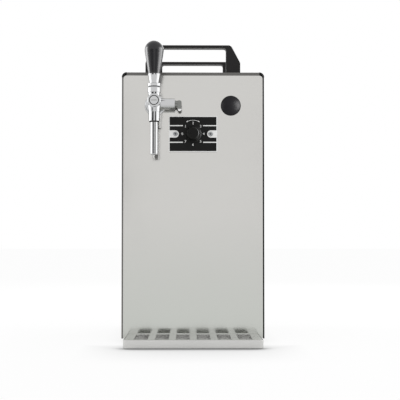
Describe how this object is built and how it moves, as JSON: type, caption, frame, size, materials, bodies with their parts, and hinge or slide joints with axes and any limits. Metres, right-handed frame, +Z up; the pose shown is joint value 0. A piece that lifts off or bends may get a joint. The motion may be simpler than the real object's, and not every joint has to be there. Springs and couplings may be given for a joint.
{
  "type": "draft beer dispenser",
  "caption": "Countertop dry draft beer cooler: upright stainless case with carry handles, a lever tap with flow compensator, a thermostat dial and a slotted drip tray.",
  "frame": {"origin": "on the table, under the middle of the whole object's box", "axes": "+X to the right as seen from the front, -Y to the front, +Z up"},
  "size_m": [0.24, 0.469, 0.514],
  "materials": {
    "polished_steel": "mirror-polished stainless sheet",
    "case_steel": "fine brushed stainless sheet",
    "chassis_steel": "galvanised sheet",
    "black_profile": "satin black plastic",
    "handle_black": "fine-textured black plastic",
    "rubber": "matt black rubber",
    "chrome": "bright chrome plating on brass",
    "grip_black": "glossy black moulded grip",
    "cone_white": "white acetal",
    "plug_black": "satin black plastic",
    "dial_black": "black printed plate with white edge",
    "knob_black": "black moulded knob",
    "inner_steel": "plain stainless tube and turned steel",
    "device_grey": "grey moulded plastic",
    "copper": "plain copper tube",
    "compressor_black": "black paint",
    "device_black": "black moulded plastic",
    "aluminium": "plain aluminium",
    "foam": "rigid insulating foam",
    "rocker_green": "green translucent rocker",
    "collet_blue": "blue acetal collet",
    "collet_grey": "grey acetal collet"
  },
  "bodies": {
    "cooler": {"base_pan": "chassis_steel", "mid_shelf": "chassis_steel", "front_panel": "polished_steel", "rear_panel": "case_steel", "side_panel_left": "case_steel", "side_panel_right": "case_steel", "top_panel": "case_steel", "corner_profile_left": "black_profile", "corner_profile_right": "black_profile", "carry_handle_front": "handle_black", "carry_handle_rear": "handle_black", "case_screws": "chassis_steel", "rubber_feet": "rubber", "tap_rosette": "chrome", "tap_shank": "chrome", "shank_nut": "chrome", "tap_body": "chrome", "tap_spout": "chrome", "tap_front_cap": "chrome", "lever_nut": "chrome", "pivot_seal": "rubber", "hole_plug": "plug_black", "thermostat_plate": "dial_black", "thermostat_body": "device_grey", "capillary_bulb": "copper", "compressor": "compressor_black", "compressor_mounts": "rubber", "terminal_cover": "device_black", "condenser_fins": "aluminium", "condenser_tubes": "copper", "fan_frame": "device_black", "filter_drier": "copper", "cooling_drum": "aluminium", "beer_coil": "inner_steel", "evaporator_coil": "copper", "insulation_shell": "foam", "insulation_lid": "foam", "refrigerant_lines": "copper", "beer_line": "inner_steel", "beer_union": "chrome", "air_pump": "device_grey", "air_hose": "rubber", "power_inlet": "device_black", "switch_housings": "device_black", "push_fittings": "device_grey"},
    "tap_lever": {"tap_lever": "chrome", "tap_handle": "grip_black"},
    "valve_piston": {"valve_piston": "chrome"},
    "compensator_lever": {"compensator_lever": "chrome"},
    "compensator_cone": {"compensator_cone": "cone_white"},
    "thermostat_knob": {"thermostat_knob": "knob_black", "thermostat_shaft": "inner_steel"},
    "fan": {"fan_blades": "device_grey"},
    "power_rocker": {"power_rocker": "rocker_green"},
    "pump_rocker": {"pump_rocker": "device_black"},
    "drip_tray": {"drip_tray": "case_steel"},
    "drip_grate": {"drip_grate": "case_steel"},
    "beer_collet": {"beer_collet": "collet_blue"},
    "air_collet": {"air_collet": "collet_grey"}
  },
  "joints": [
    {"name": "lever_pivot", "type": "hinge", "parent": "cooler", "child": "tap_lever", "pos_m": [-0.0635, -0.1742, 0.412], "axis": [1, 0, 0], "range_deg": [0, 30]},
    {"name": "valve_slide", "type": "slide", "parent": "cooler", "child": "valve_piston", "axis": [0, 1, 0], "range_m": [0, 0.0078]},
    {"name": "compensator_turn", "type": "hinge", "parent": "cooler", "child": "compensator_lever", "pos_m": [-0.0635, -0.1385, 0.3965], "axis": [1, 0, 0], "range_deg": [-45, 45]},
    {"name": "cone_slide", "type": "slide", "parent": "cooler", "child": "compensator_cone", "axis": [0, 1, 0], "range_m": [-0.0018, 0.0018]},
    {"name": "thermostat_turn", "type": "hinge", "parent": "cooler", "child": "thermostat_knob", "pos_m": [0, -0.1195, 0.3485], "axis": [0, 1, 0], "range_deg": [0, 315]},
    {"name": "fan_spin", "type": "hinge", "parent": "cooler", "child": "fan", "pos_m": [0, 0.15, 0.1102], "axis": [0, 1, 0], "continuous": true},
    {"name": "power_switch", "type": "hinge", "parent": "cooler", "child": "power_rocker", "pos_m": [0, 0.2195, 0.2252], "axis": [1, 0, 0], "range_deg": [0, 18]},
    {"name": "pump_switch", "type": "hinge", "parent": "cooler", "child": "pump_rocker", "pos_m": [-0.04, 0.2195, 0.2252], "axis": [1, 0, 0], "range_deg": [0, 18]},
    {"name": "tray_slide", "type": "slide", "parent": "cooler", "child": "drip_tray", "axis": [0, -1, 0], "range_m": [0, 0.12]},
    {"name": "grate_lift", "type": "slide", "parent": "drip_tray", "child": "drip_grate", "axis": [0, 0, 1], "range_m": [0, 0.05]},
    {"name": "beer_collet_push", "type": "slide", "parent": "cooler", "child": "beer_collet", "axis": [0, -1, 0], "range_m": [0, 0.0015]},
    {"name": "air_collet_push", "type": "slide", "parent": "cooler", "child": "air_collet", "axis": [0, -1, 0], "range_m": [0, 0.0015]}
  ],
  "couplings": [
    {"joint": "valve_slide", "follows": "lever_pivot", "m_per_rad": 0.0148},
    {"joint": "cone_slide", "follows": "compensator_turn", "m_per_rad": 0.0022}
  ]
}
